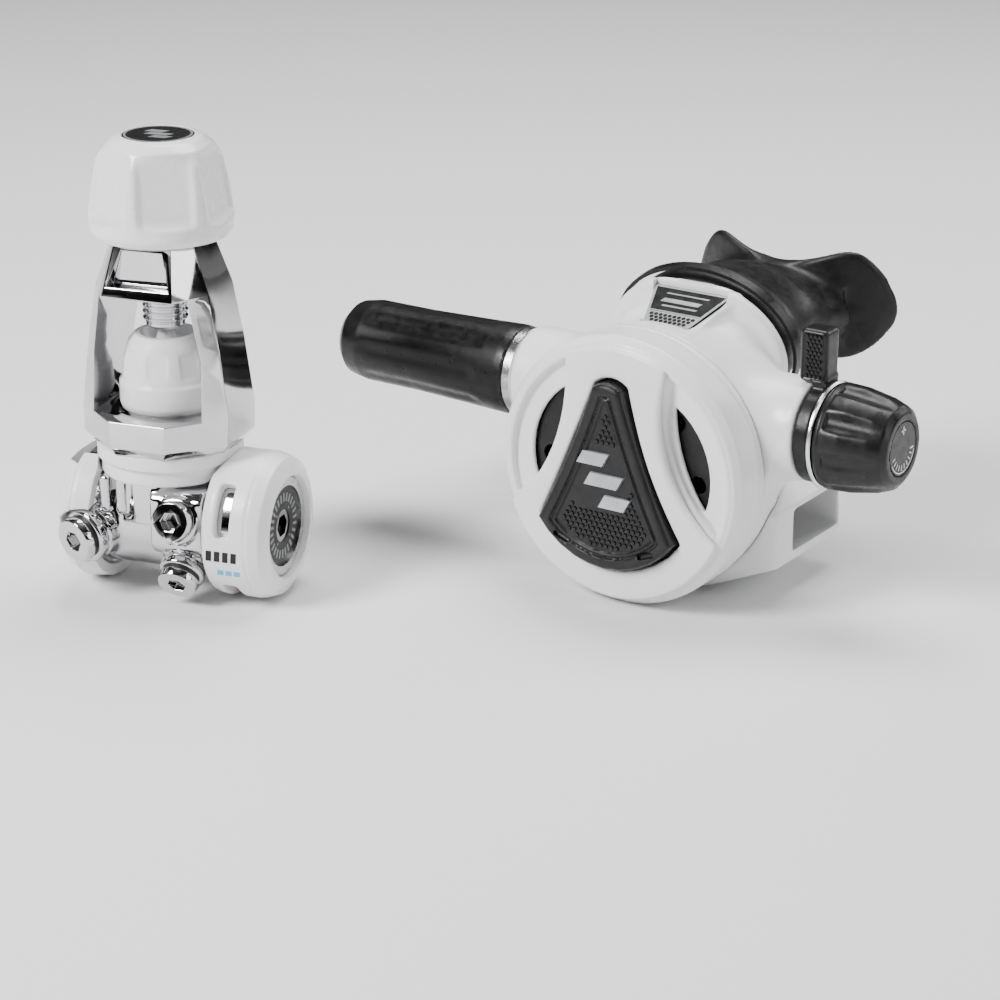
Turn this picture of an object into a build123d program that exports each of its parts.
"""Scuba regulator set: a yoke first stage and a demand-valve second stage, in millimetres.

Each stage is modelled in a frame of its own and placed in the set's frame when it is saved.
First stage: X along the barrel towards the spring adjuster, -Y to the front, Z up the yoke.
Second stage: X along the air barrel towards the adjusting knob, -Y to the front cover, Z up.
"""
from build123d import *
from math import cos, radians, sin
import os

# ---------------------------------------------------------------- placing the two stages
FLOOR_1 = -21.0                 # lowest level of the first stage, in its own frame
FLOOR_2 = -39.0                 # lowest level of the second stage, in its own frame
FIRST_TURN = 15.0               # first stage's turn about Z, degrees
FIRST_XY = (-113.5, -58.8)      # first stage's yoke axis, from the second stage's cover centre

# ---------------------------------------------------------------- first stage
BODY_R = 15.5                   # chrome barrel
BODY_LEFT, BODY_RIGHT = -17.0, 17.8
HUB_R = 17.0                    # body under the left cover
SEAT_R = 18.0                   # body under the right cover
BLOCK_RIGHT = 17.4              # end of the square port block
COVER_R = 21.0
NECK_R = 16.9
NECK_TOP = 23.0
COLLAR_R, COLLAR_LOW_R = 20.7, 19.5
HP_R, LP_R, DIAPHRAGM_R = 5.5, 10.0, 14.6
HP_END, CROWN_END, DIAPHRAGM_X = 4.0, 8.0, 15.0
PLUG_BORE_R = 7.5
PORT_R = 4.2                    # 3/8 inch low-pressure port, at the thread crests
PORT_DEPTH = 9.0
HP_PORT_R = 4.9                 # 7/16 inch high-pressure port
PORT_FACE = 21.0                # distance of a port's face from the barrel axis
ORING_D = 1.2
VALVE_TRAVEL = 0.5

# ports: x, degrees above the level of the barrel, lean towards the left end, degrees
LP_PORTS_FRONT = [(10.0, 15.0, 0.0), (9.8, -34.0, 0.0)]
HP_PORT = (-11.5, -9.0, 22.0)

# yoke sections: height, half width, half depth of the side, half depth, half width of the front
YOKE_SECTIONS = [
    (23.0, 20.3, 8.5, 20.0, 7.5),
    (25.5, 22.0, 9.5, 21.5, 8.0),
    (33.0, 22.4, 9.0, 21.3, 8.5),
    (52.0, 20.0, 8.5, 19.6, 10.0),
    (68.0, 17.2, 8.0, 18.0, 10.6),
    (84.0, 11.5, 6.5, 12.0, 8.2),
]
YOKE_TOP = 84.0
YOKE_FLOOR = 26.0
WINDOW = [(33.0, 16.5), (50.0, 16.3), (67.5, 13.3)]     # height, half width
RETAINER_HEX_R = 13.7
SCREW_R, SCREW_CORE_R = 6.35, 5.6
SCREW_PITCH = 1.75
SCREW_LOW, SCREW_TOP = 57.5, 104.0
SCREW_CLEARANCE = 0.08
KNOB_LOW, KNOB_TOP, KNOB_R, KNOB_SHOULDER_R = 82.5, 110.0, 20.0, 15.7
CAP_LOW, CAP_TOP = 31.0, 54.9

# ---------------------------------------------------------------- second stage
COVER_2_R = 39.0
COVER_BACK = 12.0
CASE_FRONT = 12.3
BARREL_Y, BARREL_Z = 27.0, 13.0
BARREL_R, BARREL_BORE = 8.0, 6.5
CASE_LEFT, CASE_RIGHT = -46.3, 46.0
BOSS_R = 14.3
MOUTH_Y, MOUTH_Z, MOUTH_TILT = 48.0, 27.5, 12.0
MOUTH_A, MOUTH_B = 25.5, 18.5
WALL = 2.5
SLEEVE_END = -112.0
HOSE_R = 5.75                   # bore for the low-pressure hose
EXHAUST_Y, EXHAUST_Z = 40.5, -23.0
EXHAUST_R = 9.0
TEE_HALF = 38.0

# ---------------------------------------------------------------- lines that parts turn about
BARREL_LINE = Plane((0, 0, 0), x_dir=(1, 0, 0), z_dir=(0, 0, 1))
YOKE_LINE = Plane((0, 0, 0), x_dir=(0, 0, 1), z_dir=(0, 1, 0))
COVER_LINE = Plane((0, 0, 0), x_dir=(0, 1, 0), z_dir=(1, 0, 0))
AIR_LINE = Plane((0, BARREL_Y, BARREL_Z), x_dir=(1, 0, 0), z_dir=(0, 0, 1))
EXHAUST_N = Vector(0, 0.9, -0.436).normalized()
EXHAUST_FACE = Plane((0, EXHAUST_Y, EXHAUST_Z), x_dir=(1, 0, 0), z_dir=EXHAUST_N)
MOUTH_N = Vector(0, cos(radians(MOUTH_TILT)), sin(radians(MOUTH_TILT)))
MOUTH_RIM = Plane((0, MOUTH_Y, MOUTH_Z), x_dir=(1, 0, 0), z_dir=MOUTH_N)

FIRST = Location((FIRST_XY[0], FIRST_XY[1], -FLOOR_1), (0, 0, FIRST_TURN))
SECOND = Location((0, 0, -FLOOR_2))
finished = []                   # (name, part, stage)


def finish(name, part, stage):
    """Label a finished part and keep it, with the stage that it belongs to."""
    part.label = name
    finished.append((name, part, stage))


def turned(line, points, mode=Mode.ADD):
    """Revolve a closed outline of (distance along, radius) points about a line."""
    with BuildSketch(line) as outline:
        with BuildLine():
            Polyline(*points, close=True)
        make_face()
    revolve(outline.sketch, axis=Axis(line.origin, line.x_dir), mode=mode)


def tube(line, start, end, outer, inner=0.0, mode=Mode.ADD):
    """A plain tube, or a rod if inner is 0, along a line."""
    turned(line, [(start, inner), (start, outer), (end, outer), (end, inner)], mode)


def coil(plane, radius, wire, turns, height):
    """A helical spring of round wire, standing on a plane."""
    with BuildLine() as helix:
        Helix(pitch=height / turns, height=height, radius=radius,
              center=plane.origin, direction=plane.z_dir)
    path = helix.edges()[0]
    with BuildSketch(Plane(path @ 0, z_dir=path % 0)) as section:
        Circle(wire / 2)
    sweep(section.sketch, path=path, is_frenet=True)


def port_plane(port, rear=False):
    """The face of a port: Z points out of the port."""
    x, rise, lean = port
    back = 1 if rear else -1
    flat = cos(radians(rise)) * cos(radians(lean))
    out = Vector(-sin(radians(lean)), back * flat, sin(radians(rise)) * cos(radians(lean)))
    return Plane(Vector(x, 0, 0) + out * PORT_FACE, x_dir=(out.Y, -out.X, 0), z_dir=out)


LP_PORTS = [port_plane(p) for p in LP_PORTS_FRONT]
LP_PLUGGED = LP_PORTS + [port_plane(LP_PORTS_FRONT[1], rear=True)]
HOSE_PORT = port_plane(LP_PORTS_FRONT[0], rear=True)
HP_PORTS = [port_plane(HP_PORT), port_plane(HP_PORT, rear=True)]


def drill(plane, radius, depth, mode=Mode.SUBTRACT):
    """A round hole going in from a plane, against its normal."""
    with BuildSketch(plane) as mouth:
        Circle(radius)
    extrude(mouth.sketch, amount=-depth, mode=mode)


# ================================================================ first stage: the body
with BuildPart() as fs_body:
    turned(BARREL_LINE, [
        (-24, 0), (-24, HUB_R), (BODY_LEFT, HUB_R), (BODY_LEFT, BODY_R), (BODY_RIGHT, BODY_R),
        (BODY_RIGHT, SEAT_R), (27, SEAT_R), (27, 0)])
    tube(YOKE_LINE, 2, NECK_TOP, NECK_R)
    with BuildSketch(Plane.YZ.offset(1.5)):
        with Locations((0, 3.6)):
            RectangleRounded(37.6, 19.7, 4)
    extrude(amount=BLOCK_RIGHT - 1.5)
    for port in LP_PORTS + [HOSE_PORT, LP_PLUGGED[2]]:
        drill(port, 6.6, 14, Mode.ADD)
    for port in HP_PORTS:
        drill(port, 7.8, 14, Mode.ADD)
    # inlet bore down to the high-pressure chamber
    tube(YOKE_LINE, 12, NECK_TOP + 1, 9.0, mode=Mode.SUBTRACT)
    tube(YOKE_LINE, 2, 12, 3.0, mode=Mode.SUBTRACT)
    # chambers along the barrel
    turned(BARREL_LINE, [
        (-25, 0), (-25, PLUG_BORE_R), (-12, PLUG_BORE_R), (-12, HP_R), (CROWN_END, HP_R),
        (CROWN_END, LP_R), (DIAPHRAGM_X, LP_R), (DIAPHRAGM_X, DIAPHRAGM_R),
        (28, DIAPHRAGM_R), (28, 0)], Mode.SUBTRACT)
    for port in LP_PORTS + [HOSE_PORT, LP_PLUGGED[2]]:
        drill(port, PORT_R, PORT_DEPTH)
        drill(port, 1.5, 14)
    for port in HP_PORTS:
        drill(port, HP_PORT_R, PORT_DEPTH)
        drill(port, 1.8, 17)
finish("fs_body", fs_body.part, FIRST)

with BuildPart() as collar_zone:
    tube(YOKE_LINE, 14.4, 30, COLLAR_R + 0.1)

with BuildPart() as left_end_cover:
    turned(BARREL_LINE, [
        (-16.9, HUB_R + 0.1), (-16.9, 20.2), (-23, COVER_R), (-26.5, 19.4), (-28.3, 15), (-28.6, 0),
        (-25.2, 0), (-25.2, HUB_R + 0.1)])
    add(collar_zone.part, mode=Mode.SUBTRACT)
    for port in HP_PORTS:
        drill(port.offset(8), 8.2, 24)
finish("left_end_cover", left_end_cover.part, FIRST)

with BuildPart() as right_end_cover:
    turned(BARREL_LINE, [
        (BODY_RIGHT + 0.1, SEAT_R + 0.1), (BODY_RIGHT + 0.1, 20.4), (20, COVER_R), (31, COVER_R),
        (34.6, 19.6), (36.2, 16.5), (36.2, 14.6), (27.2, 14.6), (27.2, SEAT_R + 0.1)])
    add(collar_zone.part, mode=Mode.SUBTRACT)
    # water slots, two to the front and two to the back
    for slot_angle in (28, -62):
        for turn in (slot_angle, 180 - slot_angle):
            out = Vector(0, -cos(radians(turn)), sin(radians(turn)))
            with BuildSketch(Plane(Vector(24, 0, 0) + out * 18.2, x_dir=(1, 0, 0), z_dir=out)):
                RectangleRounded(4.0, 15.0, 1.5)
            extrude(amount=6, mode=Mode.SUBTRACT)
finish("right_end_cover", right_end_cover.part, FIRST)

with BuildPart() as saddle_collar:
    turned(YOKE_LINE, [
        (14.4, NECK_R), (14.4, COLLAR_LOW_R), (19, COLLAR_LOW_R), (19, COLLAR_R),
        (NECK_TOP, COLLAR_R), (NECK_TOP, NECK_R)])
    tube(BARREL_LINE, 14.9, 30, SEAT_R + 0.1, mode=Mode.SUBTRACT)
    tube(BARREL_LINE, -30, 15, HUB_R + 0.1, mode=Mode.SUBTRACT)
finish("saddle_collar", saddle_collar.part, FIRST)

# ================================================================ first stage: valve train
with BuildPart() as balance_plug:
    turned(BARREL_LINE, [
        (-25, 0), (-25, PLUG_BORE_R), (-17, PLUG_BORE_R), (-17, 6.2), (-15, 6.2),
        (-15, PLUG_BORE_R), (-12, PLUG_BORE_R), (-12, 2.4), (-19, 2.4), (-19, 0)])
    with BuildSketch(Plane.YZ.offset(-25)):
        RegularPolygon(3.5, 6)
    extrude(amount=3, mode=Mode.SUBTRACT)
finish("balance_plug", balance_plug.part, FIRST)

with BuildPart() as balance_oring:
    tube(BARREL_LINE, -16.9, -15.1, PLUG_BORE_R, 6.2)
finish("balance_oring", balance_oring.part, FIRST)

with BuildPart() as crown_orifice:
    turned(BARREL_LINE, [
        (HP_END, 2.0), (HP_END, 3.0), (HP_END + 1, 4.2), (HP_END + 1, HP_R), (CROWN_END, HP_R),
        (CROWN_END, 2.0)])
finish("crown_orifice", crown_orifice.part, FIRST)

with BuildPart() as seat_poppet:
    turned(BARREL_LINE, [
        (-17, 0), (-17, 1.9), (-4, 1.9), (-4, 4.2), (2.4, 4.2), (HP_END - VALVE_TRAVEL - 0.1, 3.4),
        (HP_END - VALVE_TRAVEL - 0.1, 0)])
finish("seat_poppet", seat_poppet.part, FIRST)

with BuildPart() as seat_poppet_spring:
    coil(Plane((-11.4, 0, 0), z_dir=(1, 0, 0)), 3.4, 0.7, 5, 6.8)
finish("seat_poppet_spring", seat_poppet_spring.part, FIRST)

with BuildPart() as pushrod:
    turned(BARREL_LINE, [
        (HP_END - VALVE_TRAVEL - 0.1, 0), (HP_END - VALVE_TRAVEL - 0.1, 1.4),
        (DIAPHRAGM_X - 2, 1.4), (DIAPHRAGM_X - 2, 8.0), (DIAPHRAGM_X - 0.8, 8.0),
        (DIAPHRAGM_X - 0.8, 0)])
finish("pushrod", pushrod.part, FIRST)

with BuildPart() as fs_diaphragm:
    tube(BARREL_LINE, DIAPHRAGM_X, DIAPHRAGM_X + 1, DIAPHRAGM_R)
finish("fs_diaphragm", fs_diaphragm.part, FIRST)

with BuildPart() as clamp_washer:
    tube(BARREL_LINE, DIAPHRAGM_X + 1, DIAPHRAGM_X + 3, DIAPHRAGM_R, 10.5)
finish("clamp_washer", clamp_washer.part, FIRST)

with BuildPart() as spring_pad:
    turned(BARREL_LINE, [(16, 0), (16, 9.6), (17.8, 9.6), (17.8, 5.2), (20.5, 5.2), (20.5, 0)])
finish("spring_pad", spring_pad.part, FIRST)

with BuildPart() as main_spring:
    coil(Plane((18.8, 0, 0), z_dir=(1, 0, 0)), 7.4, 1.7, 2.5, 6.2)
finish("main_spring", main_spring.part, FIRST)

with BuildPart() as spring_housing:
    turned(BARREL_LINE, [
        (18, 10.6), (18, DIAPHRAGM_R), (33.8, DIAPHRAGM_R), (34.6, 13.8), (34.6, 11.6),
        (33.4, 11.6), (33.4, 10.6)])
finish("spring_housing", spring_housing.part, FIRST)

with BuildPart() as spring_adjuster:
    turned(BARREL_LINE, [
        (26.0, 0), (26.0, 10.6), (32.0, 10.6), (32.0, 4.6), (33.6, 4.6), (33.6, 0)])
    with BuildSketch(Plane.YZ.offset(33.6)):
        RegularPolygon(3.4, 6)
    extrude(amount=-4.5, mode=Mode.SUBTRACT)
finish("spring_adjuster", spring_adjuster.part, FIRST)

with BuildPart() as end_disc:
    turned(BARREL_LINE, [(32.0, 4.7), (32.0, 10.6), (33.4, 10.6), (33.4, 11.6), (33.9, 11.6),
                         (33.9, 4.7)])
finish("end_disc", end_disc.part, FIRST)


# ================================================================ first stage: port plugs
def port_plug(plane, stem_r, flange_r, hex_r):
    """A plug screwed into a port, with a hexagon socket."""
    seat = plane.offset(ORING_D)
    drill(seat, stem_r, PORT_DEPTH - 1, Mode.ADD)
    with BuildSketch(seat) as flange:
        Circle(flange_r)
    extrude(flange.sketch, amount=2.4, taper=12)
    with BuildSketch(seat.offset(2.4)) as socket:
        RegularPolygon(hex_r, 6)
    extrude(socket.sketch, amount=-3.6, mode=Mode.SUBTRACT)


with BuildPart() as lp_port_plugs:
    for port in LP_PLUGGED:
        port_plug(port, PORT_R, 6.0, 2.7)
finish("lp_port_plugs", lp_port_plugs.part, FIRST)

with BuildPart() as gauge_port_plugs:
    for port in HP_PORTS:
        port_plug(port, HP_PORT_R, 6.8, 3.1)
finish("gauge_port_plugs", gauge_port_plugs.part, FIRST)

with BuildPart() as port_orings:
    for port in LP_PLUGGED:
        with BuildSketch(port):
            Circle(PORT_R + ORING_D)
            Circle(PORT_R, mode=Mode.SUBTRACT)
        extrude(amount=ORING_D)
    for port in HP_PORTS:
        with BuildSketch(port):
            Circle(HP_PORT_R + ORING_D)
            Circle(HP_PORT_R, mode=Mode.SUBTRACT)
        extrude(amount=ORING_D)
finish("port_orings", port_orings.part, FIRST)

# ================================================================ first stage: yoke
with BuildPart() as yoke:
    for height, half_w, side_d, half_d, front_w in YOKE_SECTIONS:
        with BuildSketch(Plane.XY.offset(height)):
            with BuildLine():
                Polyline(
                    (-front_w, -half_d), (front_w, -half_d), (half_w, -side_d),
                    (half_w, side_d), (front_w, half_d), (-front_w, half_d),
                    (-half_w, side_d), (-half_w, -side_d), close=True)
            make_face()
    loft(ruled=True)
    outline = [(w, z) for z, w in WINDOW]
    outline += [(-w, z) for z, w in reversed(WINDOW)]
    with BuildSketch(Plane.XZ):
        with BuildLine():
            Polyline(*outline, close=True)
        make_face()
    extrude(amount=30, both=True, mode=Mode.SUBTRACT)
    tube(YOKE_LINE, YOKE_FLOOR, 40, 15.4, mode=Mode.SUBTRACT)
    tube(YOKE_LINE, 20, 40, 9.0, mode=Mode.SUBTRACT)
    tube(YOKE_LINE, 60, 90, SCREW_R + SCREW_CLEARANCE, mode=Mode.SUBTRACT)
    # recessed panel above the window, front and back
    for side in (-1, 1):
        with BuildSketch(Plane.XZ.offset(-side * 22)):
            with BuildLine():
                Polyline((-9.3, 70.5), (9.3, 70.5), (6.2, 80), (-6.2, 80), close=True)
            make_face()
        extrude(amount=side * 9.5, mode=Mode.SUBTRACT)
finish("yoke", yoke.part, FIRST)

with BuildPart() as yoke_retainer:
    with BuildSketch(Plane.XY.offset(YOKE_FLOOR)):
        RegularPolygon(RETAINER_HEX_R, 6)
    extrude(amount=CAP_LOW - YOKE_FLOOR)
    chamfer(yoke_retainer.edges().group_by(Axis.Z)[-1], 0.6)
    tube(YOKE_LINE, 12, YOKE_FLOOR, 9.0)
    tube(YOKE_LINE, CAP_LOW, 33.0, 7.0)
    tube(YOKE_LINE, 24, 34, 4.0, mode=Mode.SUBTRACT)
    tube(YOKE_LINE, 11, 24, 6.2, mode=Mode.SUBTRACT)
finish("yoke_retainer", yoke_retainer.part, FIRST)

with BuildPart() as inlet_filter:
    turned(YOKE_LINE, [(14.2, 4.0), (14.2, 6.2), (15.5, 6.2), (23.5, 3.4), (23.5, 0), (21.5, 0)])
finish("inlet_filter", inlet_filter.part, FIRST)

with BuildPart() as filter_clip:
    tube(YOKE_LINE, 13.2, 14.2, 6.2, 4.6)
finish("filter_clip", filter_clip.part, FIRST)

KNOB_PIN = Plane((1.5, 0, 92), x_dir=(0, 1, 0), z_dir=(1, 0, 0))
PIN_R, PIN_LENGTH = 1.2, 12.0

with BuildPart() as yoke_screw:
    tube(YOKE_LINE, SCREW_LOW, 85, SCREW_CORE_R)
    tube(YOKE_LINE, 85, SCREW_TOP, 4.5)
    thread_count = int((84 - SCREW_LOW) / SCREW_PITCH)
    for turn in range(thread_count):
        low = SCREW_LOW + 0.3 + turn * SCREW_PITCH
        turned(YOKE_LINE, [
            (low, SCREW_CORE_R - 0.2), (low, SCREW_CORE_R), (low + 0.5, SCREW_R),
            (low + 0.8, SCREW_R), (low + 1.3, SCREW_CORE_R), (low + 1.3, SCREW_CORE_R - 0.2)])
    tube(YOKE_LINE, SCREW_LOW - 1, SCREW_LOW + 4, 2.1, mode=Mode.SUBTRACT)
    drill(KNOB_PIN.offset(PIN_LENGTH), PIN_R, PIN_LENGTH)
finish("yoke_screw", yoke_screw.part, FIRST)

with BuildPart() as screw_pad:
    turned(YOKE_LINE, [
        (CAP_TOP, 0), (CAP_TOP, 3.2), (55.7, 4.9), (56.6, 5.6), (57.4, 5.6), (57.4, 2.0),
        (61, 2.0), (61, 0)])
finish("screw_pad", screw_pad.part, FIRST)

with BuildPart() as knob:
    turned(YOKE_LINE, [
        (KNOB_LOW, 16.3), (KNOB_LOW, 18.6), (84.2, 19.7), (88, KNOB_R), (96, 18.8),
        (104, 16.8), (107.6, KNOB_SHOULDER_R - 1.2), (109.6, 12.0), (KNOB_TOP, 10.0),
        (109.2, 9.9), (109.2, 0), (SCREW_TOP, 0), (SCREW_TOP, 4.5), (86.5, 4.5), (86.5, 16.3)])
    for location in PolarLocations(21.6, 6, start_angle=0):
        flat = Plane(location.position, x_dir=(0, 0, 1), z_dir=location.position)
        with BuildSketch(flat):
            with Locations((97, 0)):
                Rectangle(17, 13)
        extrude(amount=-3.3, mode=Mode.SUBTRACT)
    drill(KNOB_PIN.offset(PIN_LENGTH), PIN_R, PIN_LENGTH)
finish("knob", knob.part, FIRST)

with BuildPart() as knob_badge:
    tube(YOKE_LINE, 109.2, KNOB_TOP, 9.9)
finish("knob_badge", knob_badge.part, FIRST)

with BuildPart() as knob_pin:
    drill(KNOB_PIN.offset(PIN_LENGTH), PIN_R, PIN_LENGTH, Mode.ADD)
finish("knob_pin", knob_pin.part, FIRST)

with BuildPart() as dust_cap:
    turned(YOKE_LINE, [
        (CAP_LOW, 7.6), (CAP_LOW, 11.0), (33, 13.2), (34.5, 13.7), (40.5, 13.7), (41.4, 12.9),
        (47, 12.3), (52, 10.6), (54, 8.9), (54, 7.4), (50.8, 6.0), (50.8, 3.4), (CAP_TOP, 2.0),
        (CAP_TOP, 0), (31.4, 0), (31.4, 3.6), (34.2, 3.6), (34.2, 7.6)])
finish("dust_cap", dust_cap.part, FIRST)

# ================================================================ second stage: front cover
PURGE_TOP = (4.6, 26.0)
PURGE_FLANK = (11.8, 6.5)
PURGE_LOW = (22.0, -15.5)
PURGE_TOP_Z, PURGE_LOW_Z = 27.6, -26.8


def purge_shape(grow=0.0):
    """The rounded triangle of the purge button, grown by a margin."""
    top = (PURGE_TOP[0] + grow, PURGE_TOP[1])
    flank = (PURGE_FLANK[0] + grow, PURGE_FLANK[1])
    low = (PURGE_LOW[0] + grow, PURGE_LOW[1])
    with BuildLine() as outline:
        ThreePointArc(top, flank, low)
        ThreePointArc(low, (0, PURGE_LOW_Z - grow), (-low[0], low[1]))
        ThreePointArc((-low[0], low[1]), (-flank[0], flank[1]), (-top[0], top[1]))
        ThreePointArc((-top[0], top[1]), (0, PURGE_TOP_Z + grow), top)
    make_face(outline.edges())


with BuildPart() as front_cover:
    turned(COVER_LINE, [
        (-3.6, 0), (-3.6, 33.5), (-2.4, 37.0), (0, COVER_2_R), (COVER_BACK, COVER_2_R),
        (COVER_BACK, 36.0), (0.6, 36.0), (-1.2, 33.0), (-1.2, 0)])
    with BuildSketch(Plane.XZ.offset(6)):
        purge_shape(0.8)
    extrude(amount=-8, mode=Mode.SUBTRACT)
    # a vent each side of the inlay
    for side in (1, -1):
        with BuildSketch(Plane.XZ.offset(6)):
            with BuildLine():
                ThreePointArc((side * 17.5, 22), (side * 28.5, 5.5), (side * 27.5, -6.5))
                ThreePointArc((side * 27.5, -6.5), (side * 20.5, 6), (side * 17.5, 22))
            make_face()
        extrude(amount=-8, mode=Mode.SUBTRACT)
finish("front_cover", front_cover.part, SECOND)

INLAY_TOP, INLAY_WAIST, INLAY_FOOT = (18.5, 38.0), (18.2, 8.0), (34.5, -13.8)

with BuildPart() as cover_inlay:
    turned(COVER_LINE, [
        (-8.2, 0), (-8.0, 14), (-6.4, 26), (-4.8, 36.4), (-3.7, 36.6), (-3.6, 33.4), (-3.6, 0)])
    # waisted between its broad top and foot
    with BuildSketch(Plane.XZ.offset(12)):
        with BuildLine():
            ThreePointArc(INLAY_TOP, INLAY_WAIST, INLAY_FOOT)
            Line(INLAY_FOOT, (44, -18))
            ThreePointArc((44, -18), (0, -48), (-44, -18))
            Line((-44, -18), (-INLAY_FOOT[0], INLAY_FOOT[1]))
            ThreePointArc((-INLAY_FOOT[0], INLAY_FOOT[1]), (-INLAY_WAIST[0], INLAY_WAIST[1]),
                          (-INLAY_TOP[0], INLAY_TOP[1]))
            Line((-INLAY_TOP[0], INLAY_TOP[1]), INLAY_TOP)
        make_face()
    extrude(amount=-12, mode=Mode.INTERSECT)
    with BuildSketch(Plane.XZ.offset(12)):
        purge_shape(0.8)
    extrude(amount=-12, mode=Mode.SUBTRACT)
finish("cover_inlay", cover_inlay.part, SECOND)

with BuildPart() as purge_button:
    with BuildSketch(Plane.XZ.offset(9.4)):
        purge_shape()
    extrude(amount=-11.0)
    with BuildSketch(Plane.XZ.offset(-1.4)):
        Circle(29.5)
    extrude(amount=-1.6)
    with BuildSketch(Plane.XZ.offset(-3.0)):
        Circle(6.0)
        Circle(4.5, mode=Mode.SUBTRACT)
    extrude(amount=-3.0)
    # vents through the flange
    with BuildSketch(Plane.XZ):
        with PolarLocations(24.0, 8):
            Circle(2.5)
    extrude(amount=-6, mode=Mode.SUBTRACT)
finish("purge_button", purge_button.part, SECOND)

with BuildPart() as purge_emblem:
    with BuildSketch(Plane.XZ.offset(9.4)):
        with Locations((0, 0)):
            RegularPolygon(7.5, 6)
            RegularPolygon(4.5, 6, mode=Mode.SUBTRACT)
    extrude(amount=0.7)
finish("purge_emblem", purge_emblem.part, SECOND)

with BuildPart() as purge_spring:
    coil(Plane((0, 3.5, 0), z_dir=(0, 1, 0)), 7.4, 0.8, 5, 9.0)
finish("purge_spring", purge_spring.part, SECOND)

# ================================================================ second stage: diaphragm and lever
with BuildPart() as diaphragm_plate:
    tube(COVER_LINE, 13.4, 14.4, 20.0)
    fillet(diaphragm_plate.edges(), 0.3)
finish("diaphragm_plate", diaphragm_plate.part, SECOND)

with BuildPart() as diaphragm:
    turned(COVER_LINE, [
        (13.5, 20.6), (13.5, 23), (11.8, 26), (13.5, 29.5), (13.5, 32.0), (12.8, 32.0),
        (12.8, 34.6), (15.2, 34.6), (15.2, 32.0), (14.3, 32.0), (14.3, 29.5), (12.7, 26),
        (14.3, 23), (14.3, 20.6)])
finish("diaphragm", diaphragm.part, SECOND)

with BuildPart() as diaphragm_ring:
    tube(COVER_LINE, 10.6, 12.8, 34.6, 32.2)
finish("diaphragm_ring", diaphragm_ring.part, SECOND)

LEVER_PIN_X, LEVER_PIN_Y = 16.0, 17.7
with BuildPart() as demand_lever:
    with BuildSketch(Plane((LEVER_PIN_X, LEVER_PIN_Y, BARREL_Z - 6.2))):
        Circle(0.8)
    extrude(amount=12.4)
    # arm from the pin to the diaphragm plate
    with BuildSketch(Plane((0, 0, 7.5))):
        with BuildLine():
            Polyline((LEVER_PIN_X, LEVER_PIN_Y - 0.4), (LEVER_PIN_X, LEVER_PIN_Y + 0.4),
                     (3, 15.8), (0, 15.5), (-1, 14.8), (0, 14.7), (3, 15.0), close=True)
        make_face()
    extrude(amount=5)
    # two feet into the barrel
    for foot_z in (BARREL_Z - 5.6, BARREL_Z + 4.4):
        with BuildSketch(Plane((0, 0, foot_z))):
            with Locations((LEVER_PIN_X, LEVER_PIN_Y + 3.4)):
                Rectangle(1.2, 6.0)
        extrude(amount=1.2)
finish("demand_lever", demand_lever.part, SECOND)

# ================================================================ second stage: air barrel
with BuildPart() as air_barrel:
    tube(AIR_LINE, -44, 58, BARREL_R, BARREL_BORE)
    with BuildSketch(Plane.XZ.offset(-BARREL_Y)):
        with Locations((17.2, BARREL_Z)):
            Rectangle(5.4, 13.2)
    extrude(amount=12, mode=Mode.SUBTRACT)
    # air outlet towards the mouth tube
    with BuildSketch(Plane((-4, BARREL_Y, BARREL_Z), x_dir=(1, 0, 0), z_dir=(0, 0.8, 0.6))):
        Rectangle(9, 6)
    extrude(amount=12, mode=Mode.SUBTRACT)
finish("air_barrel", air_barrel.part, SECOND)

with BuildPart() as orifice:
    turned(AIR_LINE, [
        (-40.5, 2.4), (-40.5, BARREL_BORE), (-15, BARREL_BORE), (-14, 4.2), (-12, 3.2), (-12, 2.4)])
finish("orifice", orifice.part, SECOND)

with BuildPart() as poppet:
    turned(AIR_LINE, [
        (-12, 0), (-12, 5.2), (-10.2, 5.2), (-10.2, 3.9), (16.75, 3.9), (16.75, 6.3),
        (18.6, 6.3), (18.6, 3.0), (27, 3.0), (27, 0)])
finish("poppet", poppet.part, SECOND)

with BuildPart() as poppet_spring:
    coil(Plane((20.2, BARREL_Y, BARREL_Z), z_dir=(1, 0, 0)), 4.6, 0.8, 6, 13.0)
finish("poppet_spring", poppet_spring.part, SECOND)

with BuildPart() as adjuster_screw:
    turned(AIR_LINE, [
        (34.2, 0), (34.2, BARREL_BORE - 0.06), (46, BARREL_BORE - 0.06), (46, 4.0), (64, 4.0),
        (64, 0)])
finish("adjuster_screw", adjuster_screw.part, SECOND)

with BuildPart() as adjusting_knob:
    turned(AIR_LINE, [
        (52.6, BARREL_R + 0.3), (52.6, 14.4), (53.6, 15.0), (60, 14.6), (68, 12.8), (71.6, 11.6),
        (73.0, 9.6), (73.0, 7.6), (72.3, 7.6), (72.3, 0), (67, 0), (67, 4.3), (58.6, 4.3),
        (58.6, BARREL_R + 0.3)])
    for location in PolarLocations(15.6, 8):
        grip = Vector(0, location.position.X, location.position.Y)
        with BuildSketch(Plane(Vector(53.6, BARREL_Y, BARREL_Z) + grip,
                               x_dir=(0, -grip.Z, grip.Y), z_dir=(1, 0, 0))):
            Circle(1.6)
        extrude(amount=15, mode=Mode.SUBTRACT)
finish("adjusting_knob", adjusting_knob.part, SECOND)

with BuildPart() as knob_dial:
    tube(AIR_LINE, 72.3, 72.9, 7.5)
finish("knob_dial", knob_dial.part, SECOND)

with BuildPart() as clamp_ring:
    turned(AIR_LINE, [
        (50.9, BARREL_R), (50.9, 14.6), (51.4, 15.1), (51.9, 15.1), (52.3, 14.6), (52.3, BARREL_R)])
finish("clamp_ring", clamp_ring.part, SECOND)

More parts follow.
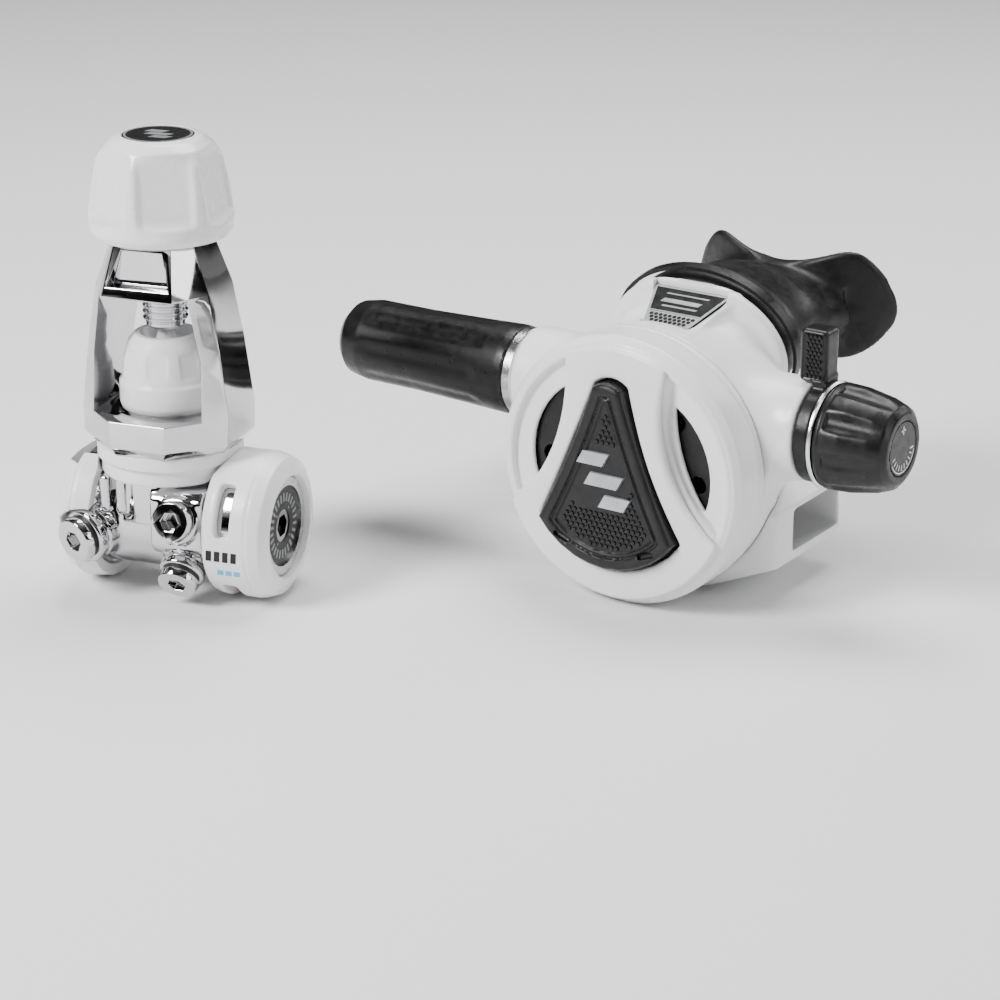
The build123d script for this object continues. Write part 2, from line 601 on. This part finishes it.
with BuildPart() as venturi_lever:
    tube(AIR_LINE, 46.4, 50.6, 14.0, BARREL_R + 0.06)
    with BuildSketch(Plane.XZ.offset(-BARREL_Y + 4)):
        with Locations((46.4, BARREL_Z + 22.2)):
            RectangleRounded(8.4, 15.4, 1.6)
    extrude(amount=-8)
    with BuildSketch(Plane.XZ.offset(-BARREL_Y + 4)):
        with Locations((48.5, BARREL_Z + 13.5)):
            Rectangle(4.2, 6)
    extrude(amount=-8)
finish("venturi_lever", venturi_lever.part, SECOND)

with BuildPart() as venturi_vane:
    tube(AIR_LINE, 21, 46.4, 9.2, BARREL_R + 0.06)
    with BuildSketch(Plane.XZ.offset(-BARREL_Y - BARREL_R - 0.15)):
        with Locations((15, BARREL_Z)):
            Rectangle(14, 3.6)
    extrude(amount=-0.95)
    with BuildSketch(Plane.XZ.offset(-BARREL_Y - BARREL_R - 0.15)):
        with Locations((12.5, BARREL_Z)):
            Rectangle(9, 1.6)
    extrude(amount=-2.8)
finish("venturi_vane", venturi_vane.part, SECOND)


# ================================================================ second stage: case
def oval(plane, half_a, half_b):
    """An oval section on a plane."""
    with BuildSketch(plane) as section:
        Ellipse(half_a, half_b)
    return section.sketch


INNER_THROAT = Plane((0, 26, 18), x_dir=(1, 0, 0), z_dir=MOUTH_N)

with BuildPart() as case_envelope:
    turned(COVER_LINE, [
        (CASE_FRONT, 0), (CASE_FRONT, 38.6), (17, 38.4), (25, 37), (34, 33), (40.5, 24),
        (43, 12), (43, 0)])
    tube(AIR_LINE, CASE_LEFT, CASE_RIGHT, BOSS_R)
    loft([oval(INNER_THROAT, MOUTH_A + 1, MOUTH_B), oval(MOUTH_RIM, MOUTH_A, MOUTH_B)])
    drill(EXHAUST_FACE.offset(1.5), EXHAUST_R + 2.5, 8, Mode.ADD)

with BuildPart() as case:
    add(case_envelope.part)
    turned(COVER_LINE, [
        (CASE_FRONT - 1, 0), (CASE_FRONT - 1, 34.6), (15.2, 34.6), (15.2, 32.4), (18, 32.2),
        (25, 34.2), (32.6, 31), (38.4, 22.6), (40.4, 11), (40.4, 0)], Mode.SUBTRACT)
    loft([oval(INNER_THROAT.offset(3), MOUTH_A - WALL, MOUTH_B - WALL - 3),
          oval(MOUTH_RIM.offset(1), MOUTH_A - WALL, MOUTH_B - WALL)], mode=Mode.SUBTRACT)
    tube(AIR_LINE, CASE_LEFT - 1, 0, BARREL_R, mode=Mode.SUBTRACT)
    tube(AIR_LINE, 0, CASE_RIGHT + 1, 9.5, mode=Mode.SUBTRACT)
    drill(EXHAUST_FACE.offset(2), EXHAUST_R, 12)
    # cross bar that holds the exhaust valve's stem
    with BuildSketch(EXHAUST_FACE.offset(-1.2)):
        Rectangle(2 * EXHAUST_R + 1, 3.0)
        Circle(3.0)
        Circle(1.3, mode=Mode.SUBTRACT)
    extrude(amount=2.4)
finish("case", case.part, SECOND)

with BuildPart() as exhaust_valve:
    with BuildSketch(EXHAUST_FACE.offset(1.55)):
        Circle(EXHAUST_R + 1.6)
    extrude(amount=0.8)
    with BuildSketch(EXHAUST_FACE.offset(-2.4)):
        Circle(1.2)
    extrude(amount=4.2)
finish("exhaust_valve", exhaust_valve.part, SECOND)

TEE_OUTER = [(18, -38.6), (24, -39), (48, -39), (57, -34.5), (62, -26), (61, -14), (54, -5),
             (40, -1), (20, -10)]
TEE_INNER = [(10, -36.6), (48, -36.8), (55.3, -33), (59.8, -25.5), (58.8, -14.8), (52.8, -7),
             (38, -3), (10, -12)]
TEE_OPEN = TEE_HALF + 1         # the hollow runs out through the ends of the wings

with BuildPart() as tee_hollow:
    with BuildSketch(Plane.YZ):
        with BuildLine():
            Polyline(*TEE_INNER, close=True)
        make_face()
    extrude(amount=TEE_OPEN, both=True)
    # seen from the front, and then from above
    with BuildSketch(Plane.XZ):
        with BuildLine():
            Polyline((-13.4, -36.8), (13.4, -36.8), (TEE_OPEN, -26), (TEE_OPEN, -13.8),
                     (37, -13.6), (25, -2.4), (-25, -2.4), (-37, -13.6), (-TEE_OPEN, -13.8),
                     (-TEE_OPEN, -26), close=True)
        make_face()
    extrude(amount=-70, mode=Mode.INTERSECT)
    with BuildSketch(Plane.XY):
        with BuildLine():
            Polyline((-12, 12), (12, 12), (TEE_OPEN, 32.5), (TEE_OPEN, 62), (-TEE_OPEN, 62),
                     (-TEE_OPEN, 32.5), close=True)
        make_face()
    extrude(amount=40, both=True, mode=Mode.INTERSECT)

with BuildPart() as exhaust_tee:
    with BuildSketch(Plane.YZ):
        with BuildLine():
            Polyline(*TEE_OUTER, close=True)
        make_face()
    extrude(amount=TEE_HALF, both=True)
    # the wings rise towards their ends
    with BuildSketch(Plane.XZ):
        with BuildLine():
            Polyline((-14, -39), (14, -39), (TEE_HALF, -28.5), (TEE_HALF, -12), (26, 0),
                     (-26, 0), (-TEE_HALF, -12), (-TEE_HALF, -28.5), close=True)
        make_face()
    extrude(amount=-70, mode=Mode.INTERSECT)
    add(case_envelope.part, mode=Mode.SUBTRACT)
    add(tee_hollow.part, mode=Mode.SUBTRACT)
finish("exhaust_tee", exhaust_tee.part, SECOND)

# ================================================================ second stage: mouthpiece
RIM_BACK = MOUTH_RIM.offset(-5)
BITE = Plane((0, 88, 25), x_dir=(1, 0, 0), z_dir=(0, 1, 0))
NECK = Plane((0, 66, 30), x_dir=(1, 0, 0), z_dir=(0, cos(radians(5)), sin(radians(5))))

with BuildPart() as mouthpiece:
    loft([oval(RIM_BACK, MOUTH_A + 2.6, MOUTH_B + 2.6),
          oval(MOUTH_RIM.offset(2), MOUTH_A + 2.2, MOUTH_B + 2.2),
          oval(NECK, 23, 13), oval(BITE, 22, 12)])
    with BuildSketch(BITE.offset(-1)):
        Ellipse(30, 16)
    extrude(amount=2.6)
    add(case_envelope.part, mode=Mode.SUBTRACT)
    # bite tabs
    for side in (-1, 1):
        with BuildSketch(BITE):
            with Locations((side * 20, 0)):
                RectangleRounded(12, 6, 2)
        extrude(amount=12)
    # air way, and the seat over the tube's rim
    loft([oval(RIM_BACK.offset(-1), MOUTH_A, MOUTH_B), oval(MOUTH_RIM, MOUTH_A, MOUTH_B)],
         mode=Mode.SUBTRACT)
    loft([oval(MOUTH_RIM.offset(-0.1), MOUTH_A - WALL, MOUTH_B - WALL), oval(NECK, 20, 10),
          oval(BITE, 14, 7), oval(BITE.offset(14), 14, 7)], mode=Mode.SUBTRACT)
finish("mouthpiece", mouthpiece.part, SECOND)

with BuildPart() as mouthpiece_strap:
    with BuildSketch(MOUTH_RIM.offset(-3)):
        Ellipse(MOUTH_A + 4.2, MOUTH_B + 4.2)
        Ellipse(MOUTH_A + 3.1, MOUTH_B + 3.1, mode=Mode.SUBTRACT)
    extrude(amount=3)
finish("mouthpiece_strap", mouthpiece_strap.part, SECOND)

with BuildPart() as badge_plate:
    with BuildSketch(Plane.XY.offset(50)):
        with BuildLine():
            Polyline((-7, 21.5), (7, 21.5), (12.4, 37.6), (-12.4, 37.6), close=True)
        make_face()
    extrude(amount=-20)
    add(case_envelope.part, mode=Mode.SUBTRACT)
    with BuildSketch(Plane.YZ):
        with BuildLine():
            Polyline((18, 20), (18, 35.5), (21.5, 36.2), (41, 44.6), (48, 47), (48, 20), close=True)
        make_face()
    extrude(amount=20, both=True, mode=Mode.INTERSECT)
finish("badge_plate", badge_plate.part, SECOND)

# ================================================================ second stage: hose end
with BuildPart() as hose_nut:
    turned(AIR_LINE, [
        (-50.4, 6.4), (-50.4, 12.8), (-49.8, 13.2), (-47.4, 13.2), (-46.8, 12.6), (-46.8, 6.4)])
finish("hose_nut", hose_nut.part, SECOND)

with BuildPart() as hose_inlet:
    turned(AIR_LINE, [
        (-60, 2.4), (-60, 3.6), (-58, 4.6), (-50.4, 4.6), (-50.4, 6.4), (-41, 6.4), (-41, 2.4)])
finish("hose_inlet", hose_inlet.part, SECOND)

with BuildPart() as hose_sleeve:
    turned(AIR_LINE, [
        (-50.5, 5.0), (-50.5, 13.2), (-53, 13.4), (-66, 12.9), (-86, 12.3), (-104, 12.3),
        (-109.5, 11.3), (SLEEVE_END, 8.8), (SLEEVE_END, HOSE_R), (-61, HOSE_R), (-61, 5.0)])
    for location in PolarLocations(14.0, 6):
        groove = Vector(0, location.position.X, location.position.Y)
        with BuildSketch(Plane(Vector(-66, BARREL_Y, BARREL_Z) + groove,
                               x_dir=(0, -groove.Z, groove.Y), z_dir=(-1, 0, 0))):
            Circle(2.6)
        extrude(amount=44, mode=Mode.SUBTRACT)
finish("hose_sleeve", hose_sleeve.part, SECOND)


# ================================================================ placing and saving
placed = [(name, part.moved(stage)) for name, part, stage in finished]
box = Compound([part for name, part in placed]).bounding_box()
TO_ORIGIN = Location((-(box.min.X + box.max.X) / 2, -(box.min.Y + box.max.Y) / 2, 0))

if __name__ == "__main__":
    os.makedirs("parts", exist_ok=True)
    for name, part in placed:
        piece = part.moved(TO_ORIGIN)
        piece.label = name
        export_step(piece, f"parts/{name}.step")
    print("box", box.size, "low", box.min.Z)
